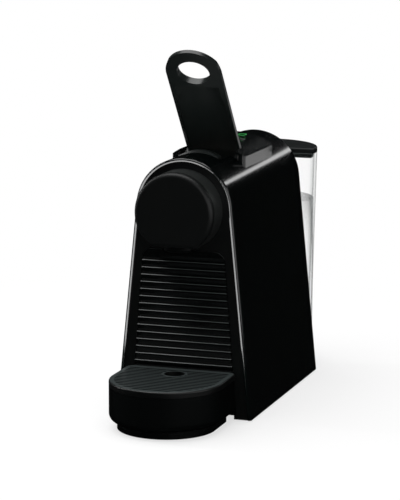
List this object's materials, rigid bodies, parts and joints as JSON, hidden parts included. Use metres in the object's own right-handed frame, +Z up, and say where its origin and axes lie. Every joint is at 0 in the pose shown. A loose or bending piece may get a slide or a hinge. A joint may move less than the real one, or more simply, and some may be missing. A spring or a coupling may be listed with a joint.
{
  "type": "pod coffee machine",
  "caption": "Slim arched pod coffee machine with a lift lever, round brew head, ribbed pull-out capsule container, drip tray and clear rear water tank.",
  "frame": {"origin": "bottom centre of the box around the whole machine at rest, on the surface it stands on", "axes": "+Z up, -Y towards the front where the cup stands, +X to the right seen from behind"},
  "size_m": [0.1098, 0.325, 0.2821],
  "materials": {
    "gloss_black": "polished black plastic",
    "satin_black": "fine satin moulded plastic",
    "matte_black": "fine spark-eroded matte plastic",
    "matte_grey": "matte dark grey plastic",
    "clear_plastic": "clear moulded plastic",
    "black_rubber": "plain rubber",
    "red_silicone": "silicone rubber",
    "pale_silicone": "silicone hose",
    "white_plastic": "natural white plastic",
    "green_board": "glass-fibre board",
    "dark_parts": "electronic parts",
    "steel": "plain stainless steel",
    "cast_aluminium": "die-cast aluminium"
  },
  "bodies": {
    "housing": {"outer_shell": "gloss_black", "front_panel": "satin_black", "rear_panel": "satin_black", "base_plate": "satin_black", "rubber_feet": "black_rubber", "cord_gland": "black_rubber", "casing_screws": "steel", "control_cover": "gloss_black", "button_board": "green_board", "button_switches": "dark_parts", "brew_head_drum": "matte_grey", "brew_head_cap": "matte_black", "coffee_outlet": "matte_black", "outlet_nozzles": "steel", "coffee_funnel": "white_plastic", "brew_frame_left": "steel", "brew_frame_right": "steel", "brew_chamber": "white_plastic", "chamber_seal": "red_silicone", "chamber_needles": "steel", "brew_unit_screws": "steel", "thermoblock": "cast_aluminium", "heater_terminals": "steel", "thermostat": "steel", "thermal_fuse": "dark_parts", "pump_body": "white_plastic", "pump_coil": "steel", "pump_dampers": "black_rubber", "pump_bracket": "steel", "flow_meter": "white_plastic", "inlet_hose": "pale_silicone", "brew_hose": "pale_silicone", "tank_coupling": "white_plastic", "coupling_seal": "red_silicone", "control_board": "green_board", "board_parts": "dark_parts"},
    "lever": {"lever_handle": "satin_black", "lever_cranks": "steel", "lever_hinge_pins": "steel", "lever_crank_pins": "steel"},
    "carriage": {"brew_carriage": "white_plastic", "brew_plate": "steel", "capsule_visor": "gloss_black"},
    "espresso_key": {"espresso_button": "satin_black"},
    "lungo_key": {"lungo_button": "satin_black"},
    "tank": {"water_tank": "clear_plastic"},
    "valve": {"tank_valve": "white_plastic"},
    "lid": {"tank_lid": "satin_black"},
    "container": {"capsule_container": "satin_black"},
    "tray": {"drip_tray": "matte_black"},
    "grid": {"drip_grid": "matte_grey"}
  },
  "joints": [
    {"name": "lever_hinge", "type": "hinge", "parent": "housing", "child": "lever", "pos_m": [0, -0.009, 0.1915], "axis": [1, 0, 0], "range_deg": [0, 52]},
    {"name": "carriage_slide", "type": "slide", "parent": "housing", "child": "carriage", "axis": [0, 1, 0], "range_m": [0, 0.031]},
    {"name": "espresso_press", "type": "slide", "parent": "housing", "child": "espresso_key", "axis": [0, 0, -1], "range_m": [0, 0.0015], "stiffness_N_per_m": 300},
    {"name": "lungo_press", "type": "slide", "parent": "housing", "child": "lungo_key", "axis": [0, 0, -1], "range_m": [0, 0.0015], "stiffness_N_per_m": 300},
    {"name": "tank_lift", "type": "slide", "parent": "housing", "child": "tank", "axis": [0, 0, 1], "range_m": [0, 0.19]},
    {"name": "valve_close", "type": "slide", "parent": "tank", "child": "valve", "axis": [0, 0, -1], "range_m": [0, 0.0038]},
    {"name": "lid_hinge", "type": "hinge", "parent": "tank", "child": "lid", "pos_m": [0, 0.1089, 0.1821], "axis": [1, 0, 0], "range_deg": [0, 80]},
    {"name": "container_slide", "type": "slide", "parent": "housing", "child": "container", "axis": [0, -1, 0], "range_m": [0, 0.12]},
    {"name": "tray_lift", "type": "slide", "parent": "container", "child": "tray", "axis": [0, 0, 1], "range_m": [0, 0.03]},
    {"name": "grid_lift", "type": "slide", "parent": "tray", "child": "grid", "axis": [0, 0, 1], "range_m": [0, 0.03]}
  ],
  "couplings": [
    {"joint": "carriage_slide", "follows": "lever_hinge", "m_per_rad": 0.034157},
    {"joint": "valve_close", "follows": "tank_lift", "ratio": 0.02}
  ]
}
